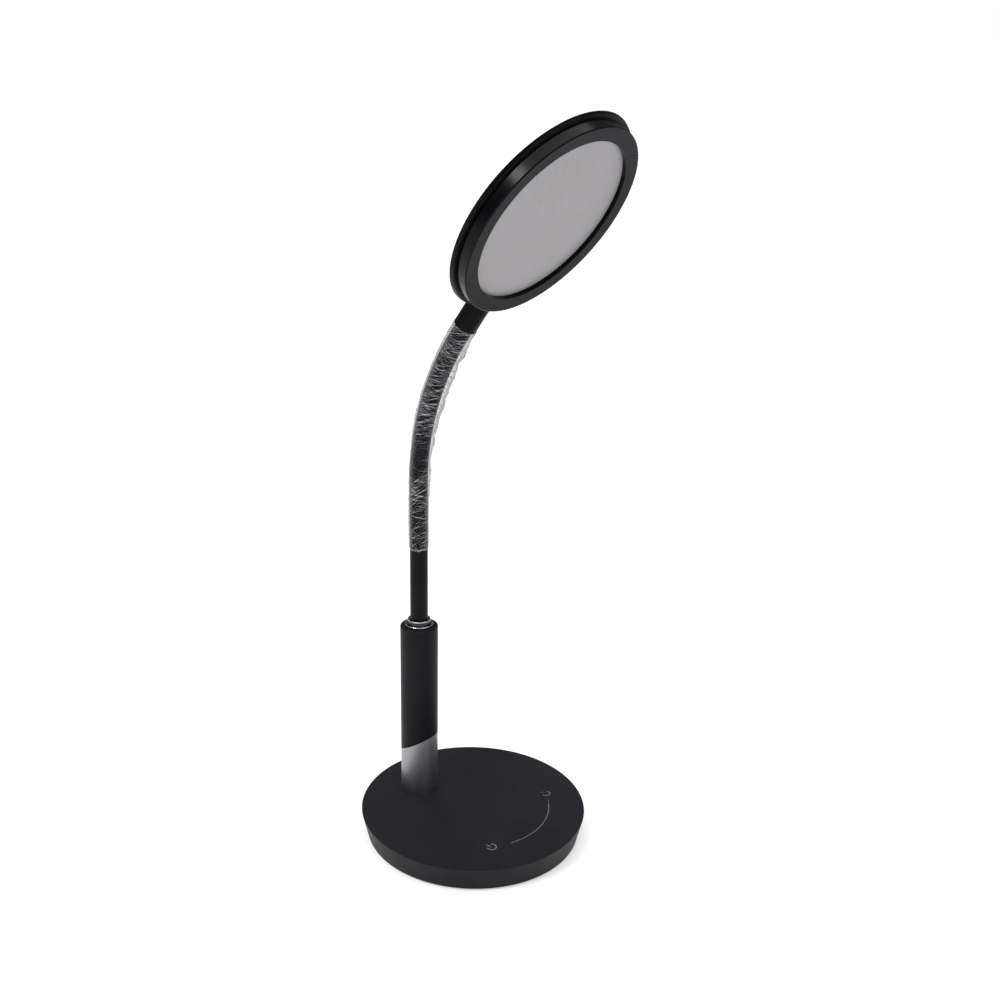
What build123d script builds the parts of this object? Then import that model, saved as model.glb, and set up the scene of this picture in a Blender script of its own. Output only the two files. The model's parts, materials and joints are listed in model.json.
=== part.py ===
from build123d import *
import math
import os

# Gooseneck desk lamp with a round flat light panel on a weighted round base.
# Origin: centre of the base on the surface it stands on. +Z up, the front of the lamp faces -Y.
# All lengths are millimetres. "Height" along the neck is measured from the top face of the base.

os.makedirs("parts", exist_ok=True)

# ---- driving dimensions ------------------------------------------------------------------
# base
base_radius = 90.0
base_foot_radius = 85.2
base_height = 19.5
base_wall = 2.5
edge_break = 0.5
pad_thickness = 1.5
pad_radius = 80.0
plate_thickness = 2.0
plate_radius = 82.4
ballast_radius = 62.0
ballast_thickness = 6.0
ballast_notch_radius = 26.0
post_radius = 4.0
post_ring_radius = 76.0
post_count = 4
touch_ring_radius = 61.4
touch_half_angle = 46.0
board_half_width = 10.0
board_half_angle = 56.0
board_thickness = 1.6
touch_pad_radius = 5.0
touch_pad_count = 5
touch_pad_thickness = 1.0
# column
column_offset = 51.0
column_radius = 15.0
column_height = 146.5
column_tube_radius = 12.4
column_tube_wall = 1.8
sleeve_cap = 3.0
sleeve_round = 1.0
fitting_drop = 26.0
fitting_floor = 4.0
fitting_length = 18.0
tail_length = 6.0
tail_radius = 4.5
lock_nut_radius = 8.0
lock_nut_height = 5.0
seam_height = 43.5
seam_slope = 30.0
flange_radius = 21.0
flange_thickness = 3.0
flange_screw_ring = 17.5
flange_screw_count = 3
flange_screw_head_radius = 2.7
flange_screw_head_height = 1.6
flange_screw_bite = 3.8
# chrome collar on top of the column
collar_low_radius = 11.1
collar_low_height = 1.8
collar_high_radius = 9.2
collar_high_height = 3.8
collar_plug_radius = 9.4
collar_round = 0.6
# gooseneck
sleeve_radius = 7.0
core_radius = 5.5
core_bore = 1.9
ball_radius = 4.4
socket_radius = 4.7
link_count = 7
link_length = 31.7
bent_link_count = 4
rest_tilt = 33.6
first_joint = 168.9
joint_gap = 1.0
film_start = 211.0
film_radius = 8.2
film_gap = 1.2
# neck ferrule and swivel spindle
ferrule_radius = 8.8
ferrule_start = 397.0
ferrule_end = 423.2
spindle_radius = 4.0
spindle_bore = 1.9
core_grip = 11.0
sleeve_grip = 8.0
ferrule_round = 0.5
spindle_end = 452.0
swivel_clearance = 0.05
snug_play = 0.05
part_play = 0.1
part_clearance = 0.3
boss_radius = 9.8
boss_start = 423.7
boss_end = 445.5
washer_thickness = 0.8
washer_radius = 5.4
pocket_radius = 6.6
pocket_depth = 9.0
boss_floor = 5.0
boss_round = 7.0
nut_thickness = 3.2
nut_across_flats = 10.0
# lamp head, measured along the light direction from the swivel axis
head_reach = 108.2
head_turn = -8.6
front_face = 14.9
bezel_radius = 64.3
bezel_break = 0.3
bezel_dish = 0.5
ring_radius = 75.5
ring_round = 0.9
recess_depth = 3.3
ring_rear = 7.25
ring_inner_radius = 68.0
ring_skirt_radius = 70.7
ring_step = 9.7
lip_front = 5.7
lip_front_radius = 78.4
lip_radius = 79.1
lip_round = 0.7
lip_widest = 3.3
lip_bend_radius = 78.2
lip_bend = 2.55
dome_edge_radius = 76.5
dome_edge = 1.9
dome_depth = -6.5
dome_flat = 3.0
cover_wall = 2.2
upstand_radius = 70.5
upstand_inner = 68.6
upstand_top = 9.5
diffuser_radius = 66.0
diffuser_thickness = 1.5
guide_thickness = 2.5
sheet_thickness = 0.3
spreader_thickness = 0.8
spreader_radius = 68.2
led_count = 36
led_ring_radius = 66.2
led_depth = 1.0
strip_thickness = 0.5
strip_inset = 0.1
led_inset = 0.45
led_width = 3.0
module_screw_ring = 48.0
module_screw_count = 4
module_screw_radius = 1.25
module_hole_radius = 1.6
module_post_radius = 3.5
module_post_foot = -2.1
module_screw_length = 6.5
lead_radius = 1.3
jack_lead_radius = 1.1
lead_hole_radius = 1.9

# ---- places worked out from them ----------------------------------------------------------
base_bottom = pad_thickness
base_top = base_bottom + base_height
plate_top = base_bottom + plate_thickness
ballast_top = plate_top + ballast_thickness
cover_inside = base_top - base_wall
flange_top = cover_inside - flange_thickness
flange_bottom = flange_top - flange_thickness
board_top = cover_inside - touch_pad_thickness
board_bottom = board_top - board_thickness
column_top = base_top + column_height
bend_start = first_joint + link_length * (link_count - bent_link_count)
bend_length = link_length * bent_link_count
bend_radius = bend_length / math.radians(rest_tilt)
bend_end = bend_start + bend_length
last_joint = first_joint + link_length * link_count
rim_face = front_face + bezel_dish
diffuser_front = front_face - recess_depth
guide_front = diffuser_front - diffuser_thickness
sheet_front = guide_front - guide_thickness
spreader_front = sheet_front - sheet_thickness
spreader_rear = spreader_front - spreader_thickness
dome_radius = (dome_edge_radius**2 + (dome_edge - dome_depth) ** 2) / (2 * (dome_edge - dome_depth))
dome_centre = dome_depth + dome_radius


def finish(piece, name):
    """Labels one finished piece and writes its STEP file."""
    piece.part.label = name
    export_step(piece.part, f"parts/{name}.step")


def neck_frame(height):
    """The plane across the gooseneck at a height along it: X to the lamp's side, Z along the neck."""
    run = height - bend_start
    tilt = min(max(run, 0.0) / bend_radius, math.radians(rest_tilt))
    beyond = max(height - bend_end, 0.0)
    y = column_offset - bend_radius * (1 - math.cos(tilt)) - beyond * math.sin(tilt)
    z = base_top + min(height, bend_start) + bend_radius * math.sin(tilt) + beyond * math.cos(tilt)
    return Plane(origin=(0, y, z), x_dir=(1, 0, 0), z_dir=(0, -math.sin(tilt), math.cos(tilt)))


def neck_line(start, end):
    """The centre line between two heights that lie on one straight or one arc of the neck."""
    ends = neck_frame(start).origin, neck_frame(end).origin
    if end <= bend_start or start >= bend_end:
        return Line(*ends)
    return ThreePointArc(ends[0], neck_frame((start + end) / 2).origin, ends[1])


def neck_tube(start, end, outer, inner=0.0):
    """A tube, or a solid rod, that follows the centre line of the neck."""
    with BuildPart() as tube:
        with BuildLine() as run:
            add(neck_line(start, end))
        with BuildSketch(neck_frame(start)):
            Circle(outer)
            if inner:
                Circle(inner, mode=Mode.SUBTRACT)
        sweep(path=run.wires()[0])
    return tube


# ---- base --------------------------------------------------------------------------------
with BuildPart() as foam_pad:
    with BuildSketch(Plane.XY):
        Circle(pad_radius)
    extrude(amount=pad_thickness)
finish(foam_pad, "base_foam_pad")

screw_head_radius = 2.9
screw_head_height = 1.1
shank_radius = 1.5
counterbore = 1.3
screw_reach = 9.0
with BuildPart() as bottom_plate:
    with BuildSketch(Plane.XY.offset(base_bottom)):
        Circle(plate_radius)
    extrude(amount=plate_thickness)
    with BuildSketch(Plane.XY.offset(base_bottom)):
        with PolarLocations(post_ring_radius, post_count, start_angle=45):
            Circle(shank_radius + part_play)
    extrude(amount=plate_thickness, mode=Mode.SUBTRACT)
    with BuildSketch(Plane.XY.offset(base_bottom)):
        with PolarLocations(post_ring_radius, post_count, start_angle=45):
            Circle(screw_head_radius + part_play)
    extrude(amount=counterbore, mode=Mode.SUBTRACT)
finish(bottom_plate, "base_bottom_plate")

with BuildPart() as base_screws:
    with BuildSketch(Plane.XY.offset(base_bottom + counterbore - screw_head_height)):
        with PolarLocations(post_ring_radius, post_count, start_angle=45):
            Circle(screw_head_radius)
    extrude(amount=screw_head_height)
    with BuildSketch(Plane.XY.offset(base_bottom + counterbore)):
        with PolarLocations(post_ring_radius, post_count, start_angle=45):
            Circle(shank_radius)
    extrude(amount=screw_reach)
finish(base_screws, "base_screws")

with BuildPart() as ballast:
    with BuildSketch(Plane.XY.offset(plate_top)):
        Circle(ballast_radius)
        with Locations((0, column_offset)):
            Circle(ballast_notch_radius, mode=Mode.SUBTRACT)
    extrude(amount=ballast_thickness)
finish(ballast, "ballast_disc")

jack_height = 8.6
jack_radius = 4.2
jack_bore = 2.9
jack_box = 9.0
jack_pin_radius = 1.0
jack_wall = 2.2
jack_barrel = 5.0
jack_front = 86.2
jack_back = 74.0
jack_tip_depth = 1.5
wall_lean = (base_radius - base_foot_radius) / base_height
with BuildPart() as base_cover:
    with BuildSketch(Plane.XZ):
        with BuildLine():
            Polyline(
                (0, base_bottom),
                (base_foot_radius, base_bottom),
                (base_radius - edge_break / 2, base_top - edge_break),
                (base_radius - edge_break, base_top),
                (0, base_top),
                close=True,
            )
        make_face()
    revolve(axis=Axis.Z)
    with BuildSketch(Plane.XZ):
        with BuildLine():
            Polyline(
                (0, base_bottom),
                (base_foot_radius - base_wall, base_bottom),
                (base_radius - base_wall - wall_lean * base_wall, cover_inside),
                (0, cover_inside),
                close=True,
            )
        make_face()
    revolve(axis=Axis.Z, mode=Mode.SUBTRACT)
    # posts that take the bottom screws
    with BuildSketch(Plane.XY.offset(plate_top)):
        with PolarLocations(post_ring_radius, post_count, start_angle=45):
            Circle(post_radius)
    extrude(amount=cover_inside - plate_top)
    with BuildSketch(Plane.XY.offset(plate_top)):
        with PolarLocations(post_ring_radius, post_count, start_angle=45):
            Circle(shank_radius)
    extrude(amount=screw_reach, mode=Mode.SUBTRACT)
    # thick ring that the column flange is screwed to
    with BuildSketch(Plane.XY.offset(flange_top)):
        with Locations((0, column_offset)):
            Circle(flange_radius)
    extrude(amount=cover_inside - flange_top)
    with BuildSketch(Plane.XY.offset(flange_top)):
        with Locations((0, column_offset)):
            Circle(column_tube_radius + part_play)
    extrude(amount=base_top - flange_top, mode=Mode.SUBTRACT)
    with BuildSketch(Plane.XY.offset(flange_top)):
        with Locations((0, column_offset)):
            with PolarLocations(flange_screw_ring, flange_screw_count, start_angle=270):
                Circle(shank_radius)
    extrude(amount=flange_screw_bite + part_play, mode=Mode.SUBTRACT)
    # opening for the power jack in the rear wall
    with BuildSketch(Plane(origin=(0, base_radius, jack_height), x_dir=(1, 0, 0), z_dir=(0, -1, 0))):
        Circle(jack_radius + part_play)
    extrude(amount=base_radius - jack_back - 4.0, mode=Mode.SUBTRACT)
finish(base_cover, "base_cover")

jack_face = Plane(origin=(0, jack_back, jack_height), x_dir=(1, 0, 0), z_dir=(0, 1, 0))
with BuildPart() as power_jack:
    with BuildSketch(Plane(origin=(0, jack_front, jack_height), x_dir=(1, 0, 0), z_dir=(0, -1, 0))):
        Circle(jack_radius)
        Circle(jack_bore, mode=Mode.SUBTRACT)
    extrude(amount=jack_barrel)
    with BuildSketch(jack_face):
        Rectangle(jack_box, jack_box)
    extrude(amount=jack_front - jack_barrel - jack_back)
    with BuildSketch(jack_face.offset(jack_wall)):
        Circle(jack_bore)
        Circle(jack_pin_radius, mode=Mode.SUBTRACT)
    extrude(amount=jack_front - jack_back, mode=Mode.SUBTRACT)
    with BuildSketch(jack_face):
        Circle(jack_pin_radius)
    extrude(amount=jack_front - jack_back - jack_tip_depth)
finish(power_jack, "power_jack")

# touch control: a crescent board under the top face, with soft pads up against the plastic
board_from = 270 - board_half_angle
with BuildPart() as touch_board:
    with BuildSketch(Plane.XY.offset(board_bottom)):
        with BuildLine():
            outer = CenterArc((0, 0), touch_ring_radius + board_half_width, board_from, 2 * board_half_angle)
            inner = CenterArc((0, 0), touch_ring_radius - board_half_width, board_from, 2 * board_half_angle)
            Line(outer @ 0, inner @ 0)
            Line(outer @ 1, inner @ 1)
        make_face()
    extrude(amount=board_thickness)
finish(touch_board, "touch_board")

with BuildPart() as touch_pads:
    with BuildSketch(Plane.XY.offset(board_top)):
        with PolarLocations(
            touch_ring_radius,
            touch_pad_count,
            start_angle=270 - touch_half_angle,
            angular_range=2 * touch_half_angle * touch_pad_count / (touch_pad_count - 1),
        ):
            Circle(touch_pad_radius)
    extrude(amount=cover_inside - board_top)
finish(touch_pads, "touch_pads")

# ---- column ------------------------------------------------------------------------------
with BuildPart() as column_flange:
    with BuildSketch(Plane.XY.offset(flange_bottom)):
        with Locations((0, column_offset)):
            Circle(flange_radius)
            Circle(column_tube_radius + snug_play, mode=Mode.SUBTRACT)
            with PolarLocations(flange_screw_ring, flange_screw_count, start_angle=270):
                Circle(shank_radius + part_play, mode=Mode.SUBTRACT)
    extrude(amount=flange_thickness)
finish(column_flange, "column_flange")

with BuildPart() as flange_screws:
    with BuildSketch(Plane.XY.offset(flange_bottom - flange_screw_head_height)):
        with Locations((0, column_offset)):
            with PolarLocations(flange_screw_ring, flange_screw_count, start_angle=270):
                Circle(flange_screw_head_radius)
    extrude(amount=flange_screw_head_height)
    with BuildSketch(Plane.XY.offset(flange_bottom)):
        with Locations((0, column_offset)):
            with PolarLocations(flange_screw_ring, flange_screw_count, start_angle=270):
                Circle(shank_radius)
    extrude(amount=flange_thickness + flange_screw_bite)
finish(flange_screws, "column_flange_screws")

tube_top = column_top - sleeve_cap - 1.0
with BuildPart() as column_tube:
    with BuildSketch(Plane.XY.offset(flange_bottom)):
        with Locations((0, column_offset)):
            Circle(column_tube_radius)
            Circle(column_tube_radius - column_tube_wall, mode=Mode.SUBTRACT)
    extrude(amount=tube_top - flange_bottom)
finish(column_tube, "column_tube")

seam_plane = Plane(
    origin=(0, column_offset, base_top + seam_height),
    x_dir=(1, 0, 0),
    z_dir=(0, math.sin(math.radians(seam_slope)), math.cos(math.radians(seam_slope))),
)
with BuildPart() as lower_sleeve:
    with BuildSketch(Plane.XY.offset(base_top)):
        with Locations((0, column_offset)):
            Circle(column_radius)
            Circle(column_tube_radius + part_play, mode=Mode.SUBTRACT)
    extrude(amount=column_height)
    split(bisect_by=seam_plane, keep=Keep.BOTTOM)
finish(lower_sleeve, "column_lower_sleeve")

with BuildPart() as upper_sleeve:
    with BuildSketch(Plane.XY.offset(base_top)):
        with Locations((0, column_offset)):
            Circle(column_radius)
    extrude(amount=column_height)
    fillet(upper_sleeve.faces().sort_by(Axis.Z)[-1].edges(), radius=sleeve_round)
    with BuildSketch(Plane.XY.offset(base_top)):
        with Locations((0, column_offset)):
            Circle(column_tube_radius + part_play)
    extrude(amount=column_height - sleeve_cap, mode=Mode.SUBTRACT)
    with BuildSketch(Plane.XY.offset(column_top - sleeve_cap)):
        with Locations((0, column_offset)):
            Circle(collar_plug_radius + part_play)
    extrude(amount=sleeve_cap, mode=Mode.SUBTRACT)
    split(bisect_by=seam_plane, keep=Keep.TOP)
finish(upper_sleeve, "column_upper_sleeve")

fitting_bottom = column_top - fitting_drop
tail_bottom = fitting_bottom - tail_length
with BuildPart() as end_fitting:
    with BuildSketch(Plane.XY.offset(fitting_bottom)):
        with Locations((0, column_offset)):
            Circle(column_tube_radius - column_tube_wall - snug_play)
            Circle(tail_radius + snug_play, mode=Mode.SUBTRACT)
    extrude(amount=fitting_floor)
    with BuildSketch(Plane.XY.offset(fitting_bottom + fitting_floor)):
        with Locations((0, column_offset)):
            Circle(column_tube_radius - column_tube_wall - snug_play)
            Circle(core_radius + snug_play, mode=Mode.SUBTRACT)
    extrude(amount=fitting_length - fitting_floor)
finish(end_fitting, "gooseneck_end_fitting")

with BuildPart() as lock_nut:
    with BuildSketch(Plane.XY.offset(fitting_bottom - lock_nut_height)):
        with Locations((0, column_offset)):
            RegularPolygon(radius=lock_nut_radius, side_count=6)
            Circle(tail_radius + snug_play, mode=Mode.SUBTRACT)
    extrude(amount=lock_nut_height)
finish(lock_nut, "gooseneck_lock_nut")

def collar_rims(piece, radius, height):
    """The circular edges of one radius at one height."""
    rims = piece.edges().filter_by(GeomType.CIRCLE)
    return rims.filter_by(lambda rim: abs(rim.radius - radius) + abs(rim.center().Z - height) < 0.01)


with BuildPart() as collar:
    with BuildSketch(Plane(origin=(0, column_offset, column_top), x_dir=(1, 0, 0), z_dir=(0, -1, 0))):
        with BuildLine():
            Polyline(
                (sleeve_radius + part_play, -sleeve_cap),
                (collar_plug_radius, -sleeve_cap),
                (collar_plug_radius, 0),
                (collar_low_radius, 0),
                (collar_low_radius, collar_low_height),
                (collar_high_radius, collar_low_height),
                (collar_high_radius, collar_low_height + collar_high_height),
                (sleeve_radius + part_play, collar_low_height + collar_high_height),
                close=True,
            )
        make_face()
    revolve(axis=Axis((0, column_offset, 0), (0, 0, 1)))
    for rim_radius, rim_height in (
        (collar_low_radius, collar_low_height),
        (collar_high_radius, collar_low_height + collar_high_height),
    ):
        fillet(collar_rims(collar, rim_radius, column_top + rim_height), radius=collar_round)
finish(collar, "collar_ferrule")

# ---- gooseneck ---------------------------------------------------------------------------
joint_heights = [first_joint + link_length * number for number in range(link_count + 1)]

with BuildPart() as core:
    with BuildSketch(Plane.XY.offset(tail_bottom)):
        with Locations((0, column_offset)):
            Circle(tail_radius)
    extrude(amount=fitting_bottom + fitting_floor - tail_bottom)
    with BuildSketch(Plane.XY.offset(fitting_bottom + fitting_floor)):
        with Locations((0, column_offset)):
            Circle(core_radius)
    extrude(amount=base_top + first_joint - joint_gap - fitting_bottom - fitting_floor)
    with Locations(neck_frame(first_joint).origin):
        Sphere(ball_radius)
    with BuildSketch(Plane.XY.offset(tail_bottom)):
        with Locations((0, column_offset)):
            Circle(core_bore)
    extrude(amount=base_top + first_joint + ball_radius - tail_bottom, mode=Mode.SUBTRACT)
finish(core, "gooseneck_core_0")
sleeve_bottom = column_height - sleeve_cap + 0.5
finish(neck_tube(sleeve_bottom, first_joint - joint_gap, sleeve_radius, core_radius), "gooseneck_sleeve_0")

for number in range(1, link_count + 1):
    low = joint_heights[number - 1]
    high = joint_heights[number]
    body = neck_tube(low + joint_gap, high - joint_gap, core_radius).part
    bore = neck_tube(low, high, core_bore).part
    with BuildPart() as core:
        add(body)
        with Locations(neck_frame(high).origin):
            Sphere(ball_radius)
        with Locations(neck_frame(low).origin):
            Sphere(socket_radius, mode=Mode.SUBTRACT)
        add(bore, mode=Mode.SUBTRACT)
        with BuildSketch(neck_frame(high)):
            Circle(core_bore)
        extrude(amount=ball_radius + 1.0, mode=Mode.SUBTRACT)
    finish(core, f"gooseneck_core_{number}")
    sleeve = neck_tube(low + joint_gap, high - joint_gap, sleeve_radius, core_radius)
    finish(sleeve, f"gooseneck_sleeve_{number}")
    if high > film_start:
        film = neck_tube(max(low + film_gap, film_start), high - film_gap, film_radius, sleeve_radius)
        finish(film, f"film_wrap_{number}")

core_end = ferrule_start + core_grip
with BuildPart() as core:
    with BuildSketch(neck_frame(last_joint + joint_gap)):
        Circle(core_radius)
    extrude(amount=core_end - last_joint - joint_gap)
    with Locations(neck_frame(last_joint).origin):
        Sphere(socket_radius, mode=Mode.SUBTRACT)
    with BuildSketch(neck_frame(last_joint)):
        Circle(core_bore)
    extrude(amount=core_end - last_joint, mode=Mode.SUBTRACT)
finish(core, f"gooseneck_core_{link_count + 1}")
sleeve_end = ferrule_start + sleeve_grip
finish(
    neck_tube(last_joint + joint_gap, sleeve_end, sleeve_radius, core_radius),
    f"gooseneck_sleeve_{link_count + 1}",
)
finish(
    neck_tube(last_joint + film_gap, ferrule_start - part_play, film_radius, sleeve_radius),
    f"film_wrap_{link_count + 1}",
)

# ---- neck ferrule and swivel -------------------------------------------------------------
with BuildPart() as ferrule:
    with BuildSketch(neck_frame(ferrule_start)):
        Circle(ferrule_radius)
    extrude(amount=ferrule_end - ferrule_start)
    fillet(ferrule.edges().filter_by(GeomType.CIRCLE), radius=ferrule_round)
    with BuildSketch(neck_frame(ferrule_start)):
        Circle(sleeve_radius)
    extrude(amount=sleeve_end - ferrule_start, mode=Mode.SUBTRACT)
    with BuildSketch(neck_frame(sleeve_end)):
        Circle(core_radius)
    extrude(amount=core_end - sleeve_end, mode=Mode.SUBTRACT)
    with BuildSketch(neck_frame(core_end)):
        Circle(spindle_radius)
    extrude(amount=ferrule_end - core_end, mode=Mode.SUBTRACT)
finish(ferrule, "neck_ferrule")

with BuildPart() as spindle:
    with BuildSketch(neck_frame(core_end)):
        Circle(spindle_radius)
        Circle(spindle_bore, mode=Mode.SUBTRACT)
    extrude(amount=spindle_end - core_end)
finish(spindle, "swivel_spindle")

washer_start = boss_end + part_clearance
nut_start = washer_start + washer_thickness
with BuildPart() as washer:
    with BuildSketch(neck_frame(washer_start)):
        Circle(washer_radius)
        Circle(spindle_radius, mode=Mode.SUBTRACT)
    extrude(amount=washer_thickness)
finish(washer, "swivel_washer")

with BuildPart() as nut:
    with BuildSketch(neck_frame(nut_start)):
        RegularPolygon(radius=nut_across_flats / 2, side_count=6, major_radius=False)
        Circle(spindle_radius, mode=Mode.SUBTRACT)
    extrude(amount=nut_thickness)
finish(nut, "swivel_nut")

# ---- lamp head ---------------------------------------------------------------------------
# The head hangs on the swivel axis and is turned a little about it.
swivel = neck_frame(bend_end + head_reach)
neck_up = swivel.z_dir
turn = math.radians(head_turn)
light = -swivel.y_dir * math.cos(turn) + swivel.x_dir * math.sin(turn)
head_axis = Axis(swivel.origin, light)
head_section = Plane(origin=swivel.origin, x_dir=neck_up, z_dir=neck_up.cross(light))


def head_plane(level):
    """A plane across the head at a level along the light direction, X pointing up the neck."""
    return Plane(origin=swivel.origin + light * level, x_dir=neck_up, z_dir=light)


with BuildPart() as front_ring:
    with BuildSketch(head_section):
        with BuildLine():
            Polyline(
                (bezel_radius, diffuser_front),
                (bezel_radius, front_face - bezel_break),
                (bezel_radius + bezel_break, front_face),
                (ring_radius - ring_round, rim_face),
            )
            CenterArc((ring_radius - ring_round, rim_face - ring_round), ring_round, 0, 90)
            Polyline(
                (ring_radius, rim_face - ring_round),
                (ring_radius, ring_rear),
                (ring_skirt_radius, ring_rear),
                (ring_skirt_radius, ring_step),
                (ring_inner_radius, ring_step),
                (ring_inner_radius, diffuser_front),
                (bezel_radius, diffuser_front),
            )
        make_face()
    revolve(axis=head_axis)
finish(front_ring, "head_front_ring")


def dome_at(radius, out):
    """How far back a dome of that radius is, at a distance out from the head's axis."""
    return dome_centre - math.sqrt(radius**2 - out**2)


def dome_arc(radius, edge):
    """The dome's arc, centred on the head's axis, from its small middle flat to its edge."""
    start = math.degrees(math.asin(dome_flat / radius))
    end = math.degrees(math.asin(edge / radius))
    return CenterArc((0, dome_centre), radius, 270 + start, end - start)


# barrel boss around the swivel spindle, flat on the side of the light module
with BuildPart() as barrel:
    with BuildSketch(neck_frame(boss_start)):
        Circle(boss_radius)
    extrude(amount=boss_end + pocket_depth + boss_floor - boss_start)
    fillet(barrel.faces().sort_by(Axis(swivel.origin, neck_up))[-1].edges(), radius=boss_round)
    split(bisect_by=head_plane(spreader_rear - part_clearance), keep=Keep.BOTTOM)

inner_dome = dome_radius - cover_wall
with BuildPart() as rear_cover:
    with BuildSketch(head_section):
        with BuildLine():
            Polyline(
                (dome_flat, dome_at(dome_radius, dome_flat)),
                (0, dome_at(dome_radius, dome_flat)),
                (0, lip_front),
                (lip_front_radius - lip_round, lip_front),
            )
            CenterArc((lip_front_radius - lip_round, lip_front - lip_round), lip_round, 0, 90)
            Line((lip_front_radius, lip_front - lip_round), (lip_radius, lip_widest))
            ThreePointArc(
                (lip_radius, lip_widest),
                (lip_bend_radius, lip_bend),
                (dome_edge_radius, dome_edge),
            )
            dome_arc(dome_radius, dome_edge_radius)
        make_face()
    revolve(axis=head_axis)
    with BuildSketch(head_plane(lip_front)):
        Circle(upstand_radius)
    extrude(amount=upstand_top - lip_front)
    with BuildSketch(head_section):
        with BuildLine():
            Polyline(
                (dome_flat, dome_at(inner_dome, dome_flat)),
                (0, dome_at(inner_dome, dome_flat)),
                (0, upstand_top),
                (upstand_inner, upstand_top),
                (upstand_inner, dome_at(inner_dome, upstand_inner)),
            )
            dome_arc(inner_dome, upstand_inner)
        make_face()
    revolve(axis=head_axis, mode=Mode.SUBTRACT)
    add(barrel.part)
    # posts for the light module screws
    with BuildSketch(head_plane(module_post_foot)):
        with PolarLocations(module_screw_ring, module_screw_count, start_angle=45):
            Circle(module_post_radius)
    extrude(amount=spreader_rear - module_post_foot)
    with BuildSketch(head_plane(spreader_rear)):
        with PolarLocations(module_screw_ring, module_screw_count, start_angle=45):
            Circle(module_screw_radius)
    extrude(amount=-module_screw_length - 0.5, mode=Mode.SUBTRACT)
    # running bore, nut pocket and the notch that clears the ferrule
    with BuildSketch(neck_frame(boss_start - 1.0)):
        Circle(spindle_radius + swivel_clearance)
    extrude(amount=boss_end - boss_start + 2.0, mode=Mode.SUBTRACT)
    with BuildSketch(Plane(origin=neck_frame(boss_end).origin, x_dir=light, z_dir=neck_up)):
        Circle(pocket_radius)
        with Locations((pocket_radius, 0)):
            Rectangle(2 * pocket_radius, 2 * pocket_radius)
    extrude(amount=pocket_depth, mode=Mode.SUBTRACT)
    with BuildSketch(neck_frame(boss_end + pocket_depth - 1.0)):
        Circle(lead_hole_radius)
    extrude(amount=boss_floor + 2.0, mode=Mode.SUBTRACT)
    with BuildSketch(Plane(origin=neck_frame(ferrule_start).origin, x_dir=light, z_dir=neck_up)):
        Circle(ferrule_radius + part_clearance)
        with Locations((lip_front, 0)):
            Rectangle(2 * lip_front, 2 * (ferrule_radius + part_clearance))
    extrude(amount=boss_start - ferrule_start, mode=Mode.SUBTRACT)
finish(rear_cover, "head_rear_cover")

with BuildPart() as diffuser:
    with BuildSketch(head_plane(guide_front)):
        Circle(diffuser_radius)
    extrude(amount=diffuser_thickness)
finish(diffuser, "diffuser")

with BuildPart() as light_guide:
    with BuildSketch(head_plane(sheet_front)):
        Circle(diffuser_radius)
    extrude(amount=guide_thickness)
finish(light_guide, "light_guide")

with BuildPart() as reflector:
    with BuildSketch(head_plane(spreader_front)):
        Circle(diffuser_radius)
    extrude(amount=sheet_thickness)
finish(reflector, "reflector_sheet")

with BuildPart() as spreader:
    with BuildSketch(head_plane(spreader_rear)):
        Circle(spreader_radius)
        with PolarLocations(module_screw_ring, module_screw_count, start_angle=45):
            Circle(module_hole_radius, mode=Mode.SUBTRACT)
    extrude(amount=spreader_thickness)
finish(spreader, "heat_spreader")

with BuildPart() as led_strip:
    with BuildSketch(head_plane(sheet_front + strip_inset)):
        Circle(led_ring_radius + led_depth + strip_thickness)
        Circle(led_ring_radius + led_depth, mode=Mode.SUBTRACT)
    extrude(amount=guide_thickness - 2 * strip_inset)
finish(led_strip, "led_strip")

with BuildPart() as leds:
    with BuildSketch(head_plane(sheet_front + led_inset)):
        with PolarLocations(led_ring_radius + led_depth / 2, led_count):
            Rectangle(led_depth - part_play, led_width)
    extrude(amount=guide_thickness - 2 * led_inset)
finish(leds, "leds")

with BuildPart() as module_screws:
    with BuildSketch(head_plane(spreader_rear)):
        with PolarLocations(module_screw_ring, module_screw_count, start_angle=45):
            Circle(module_screw_radius)
    extrude(amount=-module_screw_length)
    with BuildSketch(head_plane(spreader_rear)):
        with PolarLocations(module_screw_ring, module_screw_count, start_angle=45):
            Circle(module_screw_radius)
    extrude(amount=spreader_thickness)
finish(module_screws, "module_screws")

# ---- leads held inside -------------------------------------------------------------------
lead_level = ballast_top + 1.5
lead_side = 46.0
with BuildPart() as lamp_lead:
    with BuildLine() as route:
        FilletPolyline(
            (lead_side, -30, board_bottom),
            (lead_side, -30, lead_level),
            (lead_side, 8, lead_level),
            (0, column_offset, lead_level),
            (0, column_offset, base_top + first_joint - 2.0),
            radius=[2.5, 12.0, 8.0],
        )
    with BuildSketch(Plane(origin=route.wires()[0] @ 0, z_dir=route.wires()[0] % 0)):
        Circle(lead_radius)
    sweep(path=route.wires()[0])
finish(lamp_lead, "lamp_lead")

with BuildPart() as jack_lead:
    with BuildLine() as route:
        FilletPolyline(
            (-3, jack_back, lead_level),
            (-3, jack_back - 3.0, lead_level),
            (-14, jack_back - 6.0, lead_level),
            (-lead_side + 4.0, 40, lead_level),
            (-lead_side, 8, lead_level),
            (-lead_side, -30, lead_level),
            (-lead_side, -30, board_bottom),
            radius=[2.0, 8.0, 14.0, 14.0, 2.5],
        )
    with BuildSketch(Plane(origin=route.wires()[0] @ 0, z_dir=route.wires()[0] % 0)):
        Circle(jack_lead_radius)
    sweep(path=route.wires()[0])
finish(jack_lead, "jack_lead")

# starts beyond the last ball, whose bore swings across it when the neck bends
neck_lead_start = last_joint + ball_radius + 0.6
finish(neck_tube(neck_lead_start, spindle_end, lead_radius), "neck_lead")

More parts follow.
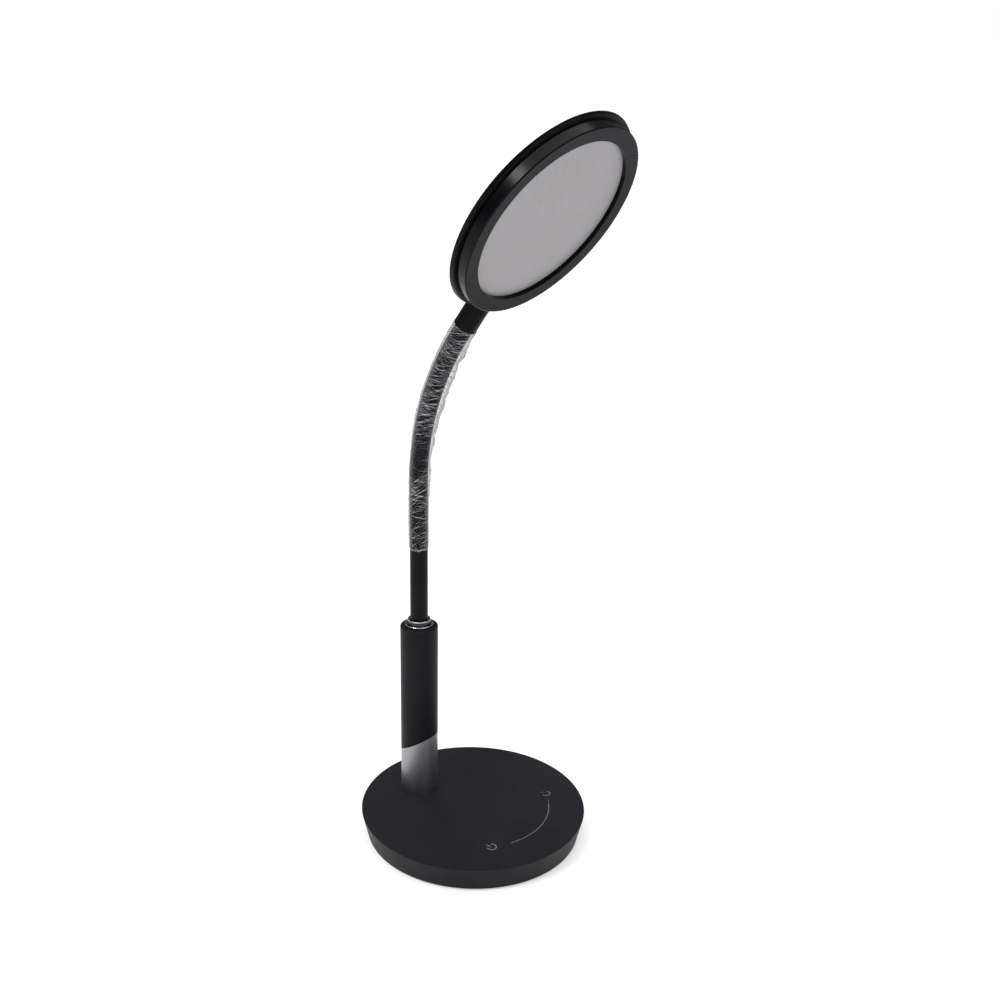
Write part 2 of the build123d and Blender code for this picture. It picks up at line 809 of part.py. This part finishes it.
lead_start = spindle_end + 0.6
run_up = neck_frame(lead_start)
with BuildPart() as head_lead:
    with BuildLine() as route:
        FilletPolyline(
            run_up.origin,
            run_up.origin + neck_up * 22.0,
            run_up.origin + neck_up * 34.0 + neck_up.cross(light) * 34.0 + light,
            radius=[10.0],
        )
    with BuildSketch(Plane(origin=route.wires()[0] @ 0, z_dir=route.wires()[0] % 0)):
        Circle(lead_radius)
    sweep(path=route.wires()[0])
finish(head_lead, "head_lead")
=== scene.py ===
import json
import math
import random

import bpy
from mathutils import Matrix, Vector, noise


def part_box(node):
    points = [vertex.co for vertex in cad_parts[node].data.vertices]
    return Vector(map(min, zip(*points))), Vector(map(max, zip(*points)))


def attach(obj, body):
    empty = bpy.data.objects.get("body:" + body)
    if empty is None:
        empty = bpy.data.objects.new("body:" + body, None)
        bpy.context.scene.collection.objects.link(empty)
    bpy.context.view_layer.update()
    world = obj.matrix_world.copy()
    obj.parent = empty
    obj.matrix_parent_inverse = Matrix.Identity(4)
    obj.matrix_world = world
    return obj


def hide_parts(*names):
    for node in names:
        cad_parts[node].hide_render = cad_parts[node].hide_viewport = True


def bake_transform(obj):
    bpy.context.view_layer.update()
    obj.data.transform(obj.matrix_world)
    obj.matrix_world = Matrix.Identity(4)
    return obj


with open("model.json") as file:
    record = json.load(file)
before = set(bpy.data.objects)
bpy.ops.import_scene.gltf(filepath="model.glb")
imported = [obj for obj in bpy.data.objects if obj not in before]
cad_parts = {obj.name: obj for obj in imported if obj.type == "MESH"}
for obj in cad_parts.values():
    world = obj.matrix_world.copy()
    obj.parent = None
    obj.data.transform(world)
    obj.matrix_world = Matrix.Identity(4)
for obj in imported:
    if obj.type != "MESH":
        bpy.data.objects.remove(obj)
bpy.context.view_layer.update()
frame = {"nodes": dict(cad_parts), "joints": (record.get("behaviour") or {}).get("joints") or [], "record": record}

MM = 0.001
nodes = frame["nodes"]
joints = {joint["name"]: joint for joint in frame["joints"]}


# ---- node helpers ------------------------------------------------------------------------
class Material:
    """A principled material and short ways to add the nodes of its detail."""

    def __init__(self, name, **sockets):
        self.made = bpy.data.materials.new(name)
        self.made.use_nodes = True
        self.tree = self.made.node_tree
        self.shader = self.tree.nodes["Principled BSDF"]
        self.place = self.add("ShaderNodeTexCoord").outputs["Object"]
        for socket, value in sockets.items():
            self.shader.inputs[socket.replace("_", " ")].default_value = value

    def add(self, kind, **settings):
        node = self.tree.nodes.new(kind)
        for name, value in settings.items():
            setattr(node, name, value)
        return node

    def link(self, start, end):
        self.tree.links.new(start, end)

    def noise(self, scale, detail=2.0, rough=0.5, place=None):
        node = self.add("ShaderNodeTexNoise")
        node.inputs["Scale"].default_value = scale
        node.inputs["Detail"].default_value = detail
        node.inputs["Roughness"].default_value = rough
        self.link(place or self.place, node.inputs["Vector"])
        return node.outputs["Fac"]

    def ramp(self, factor, stops):
        node = self.add("ShaderNodeValToRGB")
        band = node.color_ramp
        while len(band.elements) < len(stops):
            band.elements.new(0.5)
        for element, (position, colour) in zip(band.elements, stops):
            element.position = position
            element.color = (*colour, 1.0)
        self.link(factor, node.inputs["Fac"])
        return node.outputs["Color"]

    def span(self, factor, low, high, start=0.0, end=1.0):
        node = self.add("ShaderNodeMapRange")
        node.inputs["From Min"].default_value = start
        node.inputs["From Max"].default_value = end
        node.inputs["To Min"].default_value = low
        node.inputs["To Max"].default_value = high
        self.link(factor, node.inputs["Value"])
        return node.outputs["Result"]

    def maths(self, operation, first, second=None):
        node = self.add("ShaderNodeMath", operation=operation)
        for socket, value in zip(node.inputs, (first, second)):
            if value is None:
                continue
            if isinstance(value, (int, float)):
                socket.default_value = value
            else:
                self.link(value, socket)
        return node.outputs["Value"]

    def bump(self, height, distance, strength=1.0, under=None):
        node = self.add("ShaderNodeBump")
        node.inputs["Distance"].default_value = distance
        node.inputs["Strength"].default_value = strength
        self.link(height, node.inputs["Height"])
        if under is not None:
            self.link(under, node.inputs["Normal"])
        return node.outputs["Normal"]

    def into(self, socket, output):
        self.link(output, self.shader.inputs[socket])


def scaled_place(material, scale, turn=(0, 0, 0)):
    node = material.add("ShaderNodeMapping")
    node.inputs["Scale"].default_value = scale
    node.inputs["Rotation"].default_value = turn
    material.link(material.place, node.inputs["Vector"])
    return node.outputs["Vector"]


def moulded(name, colour, rough, grain=0.00006, grain_scale=2600, lift=1.5, **sockets):
    """Moulded plastic: spark-eroded grain, slight cloudiness in colour, uneven gloss."""
    made = Material(name, **sockets)
    cloud = made.noise(18, 4)
    low = tuple(c * 0.82 for c in colour)
    high = tuple(min(1.0, c * lift) for c in colour)
    made.into("Base Color", made.ramp(cloud, [(0.3, low), (0.7, high)]))
    wear = made.noise(55, 5, 0.6)
    made.into("Roughness", made.span(wear, rough - 0.05, rough + 0.06, 0.3, 0.7))
    made.into("Normal", made.bump(made.noise(grain_scale, 2), grain))
    return made.made


def metal(name, colour, rough, streak=(1, 1, 40), grain=0.00002, spread=0.08):
    """Drawn or turned metal with fine streaks."""
    made = Material(name, Metallic=1.0)
    place = scaled_place(made, streak)
    lines = made.noise(160, 4, 0.6, place)
    low = tuple(c * 0.86 for c in colour)
    made.into("Base Color", made.ramp(lines, [(0.3, low), (0.7, colour)]))
    made.into("Roughness", made.span(lines, rough - spread, rough + spread, 0.3, 0.7))
    made.into("Normal", made.bump(lines, grain, 0.6))
    return made.made


# ---- materials ---------------------------------------------------------------------------
base_black = moulded("base_black_matte", (0.0066, 0.0066, 0.0092), 0.5, Specular_IOR_Level=0.15)
column_black = moulded(
    "column_black_matte", (0.0062, 0.0062, 0.0082), 0.46, Specular_IOR_Level=0.095
)
skin_black = moulded(
    "neck_black_skin", (0.0042, 0.0042, 0.0058), 0.42, 0.00004, 3200, Specular_IOR_Level=0.085
)
ferrule_black = moulded(
    "ferrule_black", (0.0026, 0.0026, 0.0036), 0.36, 0.00003, 3400, Specular_IOR_Level=0.065
)
foam_black = moulded("foam_black", (0.02, 0.02, 0.02), 0.9, 0.0004, 1400)
jack_black = moulded("jack_black", (0.012, 0.012, 0.012), 0.4)
pad_grey = moulded("touch_foam_grey", (0.05, 0.05, 0.055), 0.85, 0.0003, 1800)
jacket_black = moulded("lead_jacket", (0.02, 0.02, 0.02), 0.5)
reflector_white = moulded("reflector_white", (0.8, 0.8, 0.8), 0.4, lift=1.1)
led_yellow = moulded("led_phosphor", (0.75, 0.6, 0.14), 0.35, lift=1.15)
board_green = moulded("circuit_board_green", (0.01, 0.09, 0.035), 0.35)
guide_clear = moulded("light_guide_acrylic", (0.75, 0.8, 0.8), 0.08, 0.00001, lift=1.05)
steel = metal("zinc_plated_steel", (0.55, 0.55, 0.57), 0.32)
core_steel = metal("core_steel", (0.3, 0.3, 0.31), 0.38)
alloy = metal("spreader_alloy", (0.78, 0.78, 0.8), 0.3, (30, 1, 1))
iron = metal("ballast_iron", (0.12, 0.12, 0.125), 0.6, (1, 1, 1), 0.0001)
silver = metal("satin_silver", (0.335, 0.335, 0.365), 0.38, (1, 1, 0.06), 0.000012, 0.04)


# how far down from its top the collar's two rims reach, the height over which its painted rim highlights lie
COLLAR_HIGHLIGHT_SPAN = 5.6 * MM


def collar_chrome():
    """Polished rims painted with bright bands as painted highlights, and the turned sides between them painted
    dark as painted reflection.
    """
    made = Material("collar_chrome", Metallic=1.0)
    parts = made.add("ShaderNodeSeparateXYZ")
    made.link(made.place, parts.inputs["Vector"])
    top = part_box("collar_ferrule")[1].z
    share = made.span(parts.outputs["Z"], 0.0, 1.0, top - COLLAR_HIGHLIGHT_SPAN, top)
    # painted highlights: bright bands at the two rims; painted dark reflection on the turned side between them,
    # set by height
    made.into("Base Color", made.ramp(share, [
        (0.0, (0.1, 0.1, 0.11)), (0.2, (0.12, 0.12, 0.13)), (0.27, (0.62, 0.62, 0.65)),
        (0.34, (0.05, 0.05, 0.055)), (0.84, (0.03, 0.03, 0.035)), (0.93, (0.6, 0.6, 0.63)),
        (1.0, (0.3, 0.3, 0.32)),
    ]))
    marks = made.noise(900, 3, 0.6, scaled_place(made, (1, 1, 12)))
    made.into("Roughness", made.span(marks, 0.12, 0.24, 0.3, 0.7))
    made.into("Normal", made.bump(marks, 0.000004, 0.6))
    return made.made


def head_black():
    """One moulding: a flat front with a fine matte grain, and polished walls behind it; the front carries a
    painted shade gradient.
    """
    made = Material("head_black", Specular_IOR_Level=0.088)
    facing = made.add("ShaderNodeVectorMath", operation="DOT_PRODUCT")
    made.link(made.add("ShaderNodeTexCoord").outputs["Normal"], facing.inputs[0])
    facing.inputs[1].default_value = tuple(light_way)
    front = made.span(facing.outputs["Value"], 0.0, 1.0, 0.9, 0.985)
    # painted light and shade: the front is painted a little paler towards its upper far side and darker towards
    # its lower near side
    across = made.add("ShaderNodeVectorMath", operation="DOT_PRODUCT")
    made.link(made.place, across.inputs[0])
    across.inputs[1].default_value = tuple(painted_shade_way)
    middle = head_middle.dot(painted_shade_way)
    share = made.span(across.outputs["Value"], 0.2, 1.5, middle - HEAD_REACH, middle + HEAD_REACH)
    cloud = made.maths("MULTIPLY", made.noise(25, 4), share)
    made.into("Base Color", made.ramp(made.maths("MULTIPLY", front, cloud), [
        (0.0, (0.0022, 0.0022, 0.003)), (0.3, (0.007, 0.007, 0.0098)),
        (0.75, (0.0102, 0.0102, 0.0135)),
    ]))
    uneven = made.span(made.noise(45, 4, 0.5), -0.015, 0.02, 0.3, 0.7)
    made.into("Roughness", made.maths("ADD", made.span(front, 0.24, 0.5), uneven))
    grain = made.maths("MULTIPLY", front, made.noise(2800, 2))
    made.into("Normal", made.bump(grain, 0.00005))
    return made.made


# ---- where things are --------------------------------------------------------------------
base_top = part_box("base_cover")[1].z
pivots = [Vector(joint["pos_m"]) for joint in frame["joints"]]
link = (pivots[1] - pivots[0]).length
column_y = pivots[0].y
neck_up = Vector(joints["head_swivel"]["axis"]).normalized()
tilt = math.atan2(-neck_up.y, neck_up.z)
bent_links = 4
bend_start = pivots[3].z
bend_radius = link * bent_links / tilt
bend_end = bend_start + link * bent_links
HEAD_TURN = math.radians(-8.6)
square_on = Vector((0, -neck_up.z, neck_up.y))
light_way = square_on * math.cos(HEAD_TURN) + Vector((1, 0, 0)) * math.sin(HEAD_TURN)
head_side = neck_up.cross(light_way)
head_middle = (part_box("diffuser")[0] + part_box("diffuser")[1]) / 2
HEAD_REACH = 70 * MM
# the way along which the head's front is painted paler, as painted light and shade
painted_shade_way = neck_up * 0.88 + head_side * 0.48


def neck_at(height):
    """Centre, and the two directions across, of the gooseneck at a height along it."""
    turned = min(max(height - bend_start, 0.0) / bend_radius, tilt)
    beyond = max(height - bend_end, 0.0)
    along = Vector((0, -math.sin(turned), math.cos(turned)))
    y = column_y - bend_radius * (1 - math.cos(turned)) + beyond * along.y
    z = min(height, bend_start) + bend_radius * math.sin(turned) + beyond * along.z
    return Vector((0, y, z)), Vector((1, 0, 0)), along.cross(Vector((1, 0, 0)))


def piece(name, verts, faces, material, smooth=True):
    mesh = bpy.data.meshes.new(name)
    mesh.from_pydata([tuple(v) for v in verts], [], faces)
    mesh.validate()
    mesh.update()
    for face in mesh.polygons:
        face.use_smooth = smooth
    made = bpy.data.objects.new(name, mesh)
    bpy.context.scene.collection.objects.link(made)
    made.data.materials.append(material)
    return made


def tube(start, end, step, around, radius):
    """Rings of points between two heights of the neck. radius(height, angle) in metres."""
    rows = max(2, round((end - start) / step) + 1)
    verts = []
    for row in range(rows):
        height = start + (end - start) * row / (rows - 1)
        centre, across, fore = neck_at(height)
        for number in range(around):
            angle = 2 * math.pi * number / around
            reach = radius(height, angle)
            verts.append(centre + (across * math.cos(angle) + fore * math.sin(angle)) * reach)
    faces = []
    for row in range(rows - 1):
        for number in range(around):
            low, next_low = row * around + number, row * around + (number + 1) % around
            faces.append((low, next_low, next_low + around, low + around))
    return verts, faces, rows


def close_ends(made, around, rows):
    """Caps both ends of a tube and keeps the shading of its side clean."""
    mesh = made.data
    verts = [v.co.copy() for v in mesh.vertices]
    faces = [tuple(f.vertices) for f in mesh.polygons]
    faces.append(tuple(reversed(range(around))))
    faces.append(tuple(range((rows - 1) * around, rows * around)))
    mesh.clear_geometry()
    mesh.from_pydata(verts, [], faces)
    mesh.update()
    for face in mesh.polygons:
        face.use_smooth = len(face.vertices) == 4
    caps = {tuple(sorted(key)) for f in mesh.polygons if len(f.vertices) > 4 for key in f.edge_keys}
    for edge in mesh.edges:
        if tuple(sorted(edge.vertices)) in caps:
            edge.use_edge_sharp = True


# ---- gooseneck skin ----------------------------------------------------------------------
film_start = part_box("film_wrap_2")[0].z
SKIN = 7.0 * MM
SKIN_AROUND = 96
collar_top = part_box("collar_ferrule")[1].z
first = pivots[0].z
mids = [first + link * (number + 0.5) for number in range(7)]
FERRULE_GAP = 6.3 * MM
ferrule_start_height = bend_end + FERRULE_GAP
TUCKED_IN = 6 * MM
section_ends = [collar_top - TUCKED_IN, *mids, ferrule_start_height + TUCKED_IN]
SKIN_STEP = 1.2 * MM

for number in range(8):
    start, end = section_ends[number], section_ends[number + 1]
    verts, faces, rows = tube(start, end, SKIN_STEP, SKIN_AROUND, lambda height, angle: SKIN)
    made = piece(f"neck_skin_{number + 1}", verts, faces, skin_black)
    close_ends(made, SKIN_AROUND, rows)
    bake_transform(made)
    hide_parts(f"gooseneck_sleeve_{number}")
    if number == 7:
        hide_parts("gooseneck_sleeve_8")


# ---- crinkled film -----------------------------------------------------------------------
FILM_AROUND = 160
FILM_STEP = 0.3 * MM
FILM_LAP = 0.9 * MM
film_end = ferrule_start_height + FILM_LAP
INSIDE_OF_BEND = math.radians(-64)
# along the film from its lower end, then how far it stands off outside and inside the bend (mm)
SLACK = (
    (-0.5, 0.3, 0.3), (2.5, 0.7, 0.6), (6.5, 0.9, 0.8), (22, 1.1, 0.8), (38, 0.9, 0.9),
    (49, 0.8, 1.5), (59, 0.8, 2.3), (72, 0.7, 1.8), (81, 0.8, 2.2), (88, 0.9, 3.7), (94, 1.1, 2.5),
    (102, 1.3, 3.0), (122, 1.4, 3.8), (142, 1.5, 3.7), (150, 1.5, 4.2), (157, 1.5, 2.5),
    (165, 1.6, 4.3), (172, 1.8, 2.9), (179, 1.9, 2.3), (183, 2.1, 2.1), (187, 2.3, 2.2),
)
# crease lines: how many, the stretch they lie on, and where few of them are (mm along the film)
FOLD_SEED = 5
FOLD_COUNT = 1050
FOLDS_FROM, FOLDS_LONG = -1.5, 191.0
GOLDEN_TURN = math.pi * (3 - math.sqrt(5))
SMOOTH_AT, SMOOTH_HALF = 80.5, 15
LOWER_STRETCH = 65.5
# how far along a crease can wander from its middle, and the bands that it is looked up by
FOLD_REACH = 12.0
FOLD_BAND = 2.0
# the edge's crease is this far up the film, and as wide
HEM = 1.1
LEAST_STAND_OFF = 0.16
SKIN_MM = SKIN / MM


def slack_at(along):
    """How far the film hangs off the skin outside and inside the bend, eased between rows."""
    for low, high in zip(SLACK, SLACK[1:]):
        if along <= high[0]:
            share = max(0.0, (along - low[0]) / (high[0] - low[0]))
            share = share * share * (3 - 2 * share)
            return [a + (b - a) * share for a, b in zip(low[1:], high[1:])]
    return SLACK[-1][1:]


def make_folds():
    """Random crease lines that run partly round the film, few of them in its smooth stretch.

    Each is: where it is along the film, its way round, its reach in radians, its slope and bow in
    mm, half its width in mm, and its strength. They are kept by the bands that they may cross.
    """
    draw = random.Random(FOLD_SEED)
    folds = []
    for number in range(FOLD_COUNT):
        along = FOLDS_LONG * (number + draw.random()) / FOLD_COUNT + FOLDS_FROM
        way = (number * GOLDEN_TURN + draw.uniform(-0.4, 0.4)) % (2 * math.pi) - math.pi
        smooth = math.exp(-(((along - SMOOTH_AT) / SMOOTH_HALF) ** 4))
        kept = draw.random() > 0.93 * smooth
        thinner = along > LOWER_STRETCH or draw.random() > 0.12
        steep = draw.random() < 0.16
        slope = draw.gauss(0.0, 9.0) if steep else draw.gauss(1.8, 2.8)
        fold = (
            along, way, draw.uniform(0.3, 1.3), slope, draw.uniform(-1.4, 1.4),
            draw.uniform(0.36, 0.64), draw.uniform(0.2, 1.0),
        )
        if kept and thinner:
            folds.append(fold)
    near = {}
    for fold in folds:
        first_band = int((fold[0] - FOLD_REACH) // FOLD_BAND)
        last_band = int((fold[0] + FOLD_REACH) // FOLD_BAND)
        for band in range(first_band, last_band + 1):
            near.setdefault(band, []).append(fold)
    return near


FOLDS = make_folds()


def creases(height, angle):
    """How strongly the film is creased at a point, 0 to 1, and how far it is pushed out there."""
    along = (height - film_start) / MM
    amount = 0.0
    nearby = FOLDS.get(int(along // FOLD_BAND), ())
    for where, way, reach, slope, bow, width, strength in nearby:
        aside = (angle - way + math.pi) % (2 * math.pi) - math.pi
        if abs(aside) > reach:
            continue
        off = abs(along - where - slope * aside - bow * aside * aside)
        if off < width:
            amount += strength * (1 - off / width) * (1 - (aside / reach) ** 2)
    hem = max(0.0, 1 - abs(along - HEM) / HEM)
    return min(1.0, amount + 0.6 * hem), min(1.0, amount)


def film_radius(height, angle):
    """How far the loose film stands off the axis, in metres."""
    along = (height - film_start) / MM
    outside, inside = slack_at(along)
    way = (0.5 + 0.5 * math.cos(angle - INSIDE_OF_BEND)) ** 1.4
    x, y, z = math.cos(angle) * 7.5, math.sin(angle) * 7.5, height / MM
    swell = noise.noise(Vector((x / 9, y / 9 + 20, z / 7)))
    off = outside + (inside - outside) * way
    pushed = (0.12 + 0.12 * off) * (creases(height, angle)[1] - 0.2)
    off = max(LEAST_STAND_OFF, off * (1 + 0.3 * swell) + pushed)
    return (SKIN_MM + off) * MM


def clear_film():
    """Clear film: nearly nothing seen square on, milky where it turns away or is creased; its creases are also
    painted paler as painted highlights.
    """
    made = Material("clear_crinkled_film", Roughness=0.2, IOR=1.5, Specular_IOR_Level=0.6)
    weight = made.add("ShaderNodeLayerWeight")
    weight.inputs["Blend"].default_value = 0.5
    crease = made.add("ShaderNodeAttribute", attribute_name="crease").outputs["Fac"]
    cloud = made.noise(240, 4, 0.6)
    turned_away = made.span(weight.outputs["Facing"], 1.0, 0.2, 0.25, 0.55)
    crease_milk_and_glint = made.maths("MULTIPLY", crease, turned_away)
    # creases are painted paler as painted highlights, and the top stop makes the strongest creases painted glints;
    # the alpha below makes creases more opaque, as milky creased film
    made.into("Base Color", made.ramp(crease_milk_and_glint, [
        (0.1, (0.155, 0.152, 0.167)), (0.4, (0.2, 0.2, 0.215)), (0.85, (0.3, 0.3, 0.315)),
        (1.0, (0.62, 0.62, 0.63)),
    ]))
    edge = made.ramp(weight.outputs["Facing"], [
        (0.0, (0.012, 0.012, 0.012)), (0.2, (0.04, 0.04, 0.04)), (0.33, (0.28, 0.28, 0.28)),
        (0.5, (0.45, 0.45, 0.45)), (1.0, (0.56, 0.56, 0.56)),
    ])
    lines = made.span(crease_milk_and_glint, 0.0, 0.6, 0.08, 0.85)
    milk = made.span(cloud, 0.0, 0.045, 0.42, 0.7)
    total = made.maths("ADD", made.maths("ADD", edge, lines), milk)
    made.into("Alpha", made.maths("MINIMUM", total, 0.88))
    grain = made.noise(900, 3, 0.6)
    made.into("Normal", made.bump(grain, 0.00008, 0.6))
    return made.made


def mark_creases(made, start, end, rows):
    """Keeps the crease strength of every point, which the finish reads."""
    kept = made.data.attributes.new("crease", "FLOAT", "POINT")
    values = []
    for row in range(rows):
        height = start + (end - start) * row / (rows - 1)
        for number in range(FILM_AROUND):
            values.append(creases(height, 2 * math.pi * number / FILM_AROUND)[0])
    kept.data.foreach_set("value", values)


film_look = clear_film()
film_ends = [film_start, *mids[1:], film_end]
for number in range(7):
    start, end = film_ends[number], film_ends[number + 1]
    verts, faces, rows = tube(start, end, FILM_STEP, FILM_AROUND, film_radius)
    made = piece(f"film_{number + 1}", verts, faces, film_look)
    mark_creases(made, start, end, rows)
    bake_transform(made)
    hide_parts(f"film_wrap_{number + 2}")


# ---- diffuser ----------------------------------------------------------------------------
PRISM_WAVE = 2 * math.pi / (2.3 * MM)


def diffuser_look():
    """Frosted sheet with rows of fine moulded prisms."""
    made = Material("prismatic_diffuser", Roughness=0.42, Specular_IOR_Level=0.4)
    axes = made.add("ShaderNodeCombineXYZ")
    for socket, way in zip(axes.inputs, (neck_up, head_side, light_way)):
        dot = made.add("ShaderNodeVectorMath", operation="DOT_PRODUCT")
        made.link(made.place, dot.inputs[0])
        dot.inputs[1].default_value = tuple(way)
        made.link(dot.outputs["Value"], socket)
    flat = made.add("ShaderNodeMapping")
    flat.inputs["Rotation"].default_value = (0, 0, math.radians(-9))
    made.link(axes.outputs["Vector"], flat.inputs["Vector"])
    parts = made.add("ShaderNodeSeparateXYZ")
    made.link(flat.outputs["Vector"], parts.inputs["Vector"])
    up = made.maths("SINE", made.maths("MULTIPLY", parts.outputs["X"], PRISM_WAVE * 1.35))
    over = made.maths("SINE", made.maths("MULTIPLY", parts.outputs["Y"], PRISM_WAVE))
    grid = made.maths("MULTIPLY", up, over)
    columns = made.maths("MULTIPLY", over, 0.55)
    patch = made.span(made.noise(30, 3), 0.25, 1.0, 0.38, 0.62)
    pattern = made.maths("MULTIPLY", made.maths("ADD", grid, columns), patch)
    shade = made.span(pattern, 0.0, 1.0, -1.2, 1.2)
    made.into("Base Color", made.ramp(shade, [
        (0.0, (0.18, 0.174, 0.18)), (0.5, (0.3, 0.288, 0.3)), (1.0, (0.425, 0.41, 0.425)),
    ]))
    made.into("Normal", made.bump(pattern, 0.00012, 0.7))
    return made.made


# ---- finishes of the carried-over nodes -------------------------------------------------
head_look = head_black()
by_slot = {
    "black_plastic": base_black, "head_plastic": head_look, "silver_sleeve": silver,
    "collar_chrome": collar_chrome(), "steel": steel, "ballast": iron, "foam": foam_black,
    "circuit_board": board_green, "touch_foam": pad_grey, "jack_plastic": jack_black,
    "neck_skin": skin_black, "neck_core": core_steel, "clear_film": film_look,
    "diffuser": diffuser_look(), "light_guide": guide_clear, "reflector": reflector_white,
    "spreader": alloy, "led": led_yellow, "lead_jacket": jacket_black,
}
own_look = {"column_upper_sleeve": column_black, "neck_ferrule": ferrule_black}
for part in frame["record"]["subparts"]:
    node = nodes[part["node"]]
    node.data.materials.clear()
    node.data.materials.append(own_look.get(part["node"], by_slot[part["material_slot"]]))


# ---- printed touch marks -----------------------------------------------------------------
def mark_ink():
    made = Material("printed_grey_ink", Roughness=0.5)
    cloud = made.noise(900, 3)
    inks = [(0.35, (0.17, 0.17, 0.18)), (0.7, (0.27, 0.27, 0.28))]
    made.into("Base Color", made.ramp(cloud, inks))
    made.into("Normal", made.bump(made.noise(2600, 2), 0.00003))
    return made.made


ink = mark_ink()
INK_THICK = 0.04 * MM


def ribbon(name, points, width):
    """A thin printed line through points on the base's top, with rounded ends."""
    verts, faces = [], []
    count = len(points)
    for number, (x, y) in enumerate(points):
        before, after = points[max(number - 1, 0)], points[min(number + 1, count - 1)]
        way = Vector((after[0] - before[0], after[1] - before[1])).normalized()
        half = width / 2
        if number in (0, count - 1):
            half *= 0.55
        for z in (base_top, base_top + INK_THICK):
            for side in (-1, 1):
                verts.append((x - way.y * half * side, y + way.x * half * side, z))
    for number in range(count - 1):
        a, b = number * 4, number * 4 + 4
        faces += [
            (a + 2, a + 3, b + 3, b + 2), (a, b, b + 1, a + 1),
            (a, a + 2, b + 2, b), (a + 1, b + 1, b + 3, a + 3),
        ]
    end = (count - 1) * 4
    faces += [(0, 1, 3, 2), (end, end + 2, end + 3, end + 1)]
    made = piece(name, verts, faces, ink, smooth=False)
    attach(made, "base")
    return made


def arc(centre, radius, start, end, count=40):
    steps = [math.radians(start + (end - start) * k / count) for k in range(count + 1)]
    return [(centre[0] + radius * math.cos(a), centre[1] + radius * math.sin(a)) for a in steps]


def on_ring(radius, angle):
    return (radius * math.cos(math.radians(angle)), radius * math.sin(math.radians(angle)))


TOUCH_RING = 61.4 * MM
ribbon("mark_slider", arc((0, 0), TOUCH_RING, 238.6, 302.0, 90), 0.36 * MM)
ribbon("mark_slider_tick", arc((0, 0), TOUCH_RING + 0.6 * MM, 303.6, 306.4, 6), 0.3 * MM)
power = on_ring(61.2 * MM, 223.8)
ribbon("mark_power_ring", arc(power, 3.6 * MM, 142, 398, 60), 0.5 * MM)
bar = [(power[0], power[1] + 0.6 * MM + 4.0 * MM * k / 6) for k in range(7)]
ribbon("mark_power_bar", bar, 0.5 * MM)
tone = on_ring(62.2 * MM, 315.8)
ribbon("mark_tone_ring", arc(tone, 3.4 * MM, 165, 375, 50), 0.45 * MM)
dot = [(tone[0] - 0.5 * MM + 1.0 * MM * k / 4, tone[1] + 3.0 * MM) for k in range(5)]
ribbon("mark_tone_dot", dot, 0.6 * MM)

# ---- floor, light, camera ----------------------------------------------------------------
scene = bpy.context.scene
scene.view_settings.view_transform = "Standard"
scene.view_settings.look = "None"

floor_look = Material("studio_floor", Roughness=0.85, Specular_IOR_Level=0.1)
tint = floor_look.noise(1.5, 2)
floor_tints = [(0.3, (0.6, 0.6, 0.6)), (0.7, (0.62, 0.62, 0.62))]
floor_look.into("Base Color", floor_look.ramp(tint, floor_tints))
floor_look.shader.inputs["Emission Color"].default_value = (1, 1, 1, 1)
floor_look.shader.inputs["Emission Strength"].default_value = 0.45
FLOOR_HALF = 14.0
CORNERS = ((-1, -1), (1, -1), (1, 1), (-1, 1))
floor_verts = [(FLOOR_HALF * x, FLOOR_HALF * y, 0) for x, y in CORNERS]
floor = piece("studio_floor", floor_verts, [(0, 1, 2, 3)], floor_look.made)

world = bpy.data.worlds.new("studio")
scene.world = world
world.use_nodes = True
sky = world.node_tree
background = sky.nodes["Background"]
bright = sky.nodes.new("ShaderNodeBackground")
bright.inputs["Color"].default_value = (1, 1, 1, 1)
bright.inputs["Strength"].default_value = 1.0
background.inputs["Color"].default_value = (1, 1, 1, 1)
background.inputs["Strength"].default_value = 0.16
rays = sky.nodes.new("ShaderNodeLightPath")
mix = sky.nodes.new("ShaderNodeMixShader")
sky.links.new(rays.outputs["Is Camera Ray"], mix.inputs["Fac"])
sky.links.new(background.outputs["Background"], mix.inputs[1])
sky.links.new(bright.outputs["Background"], mix.inputs[2])
sky.links.new(mix.outputs["Shader"], sky.nodes["World Output"].inputs["Surface"])


def softbox(name, place, target, size, power):
    lamp = bpy.data.lights.new(name, "AREA")
    lamp.shape = "RECTANGLE"
    lamp.size, lamp.size_y = size
    lamp.energy = power
    made = bpy.data.objects.new(name, lamp)
    scene.collection.objects.link(made)
    made.location = place
    made.rotation_euler = (Vector(target) - Vector(place)).to_track_quat("-Z", "Y").to_euler()


overhead = bpy.data.lights.new("overhead_diffuse", "SUN")
overhead.energy = 3.1
overhead.angle = math.radians(75)
overhead_lamp = bpy.data.objects.new("overhead_diffuse", overhead)
scene.collection.objects.link(overhead_lamp)
softbox("key_softbox", (-1.22, 0.42, 1.86), (0, 0, 0.4), (0.58, 0.36), 18)
softbox("front_fill", (-0.9, -2.4, 1.3), (0, 0, 0.3), (1.4, 1.0), 6)

# camera: where it stands, and its right, up and forward directions
CAMERA_PLACE = Vector((-0.76258, -0.43615, 0.58305))
CAMERA_RIGHT = Vector((0.52380, -0.85184, 0.00243))
CAMERA_UP = Vector((0.27588, 0.17234, 0.94561))
CAMERA_BACK = -Vector((0.80593, 0.49465, -0.32528))
FOCAL_MM = 45.0
FRAME_SHIFT = 0.06
lens = bpy.data.cameras.new("camera")
lens.sensor_width = 36.0
lens.lens = FOCAL_MM
lens.shift_x = FRAME_SHIFT
lens.clip_start, lens.clip_end = 0.01, 60
camera = bpy.data.objects.new("camera", lens)
scene.collection.objects.link(camera)
turn = Matrix((CAMERA_RIGHT, CAMERA_UP, CAMERA_BACK)).transposed().to_4x4()
camera.matrix_world = Matrix.Translation(CAMERA_PLACE) @ turn
scene.camera = camera
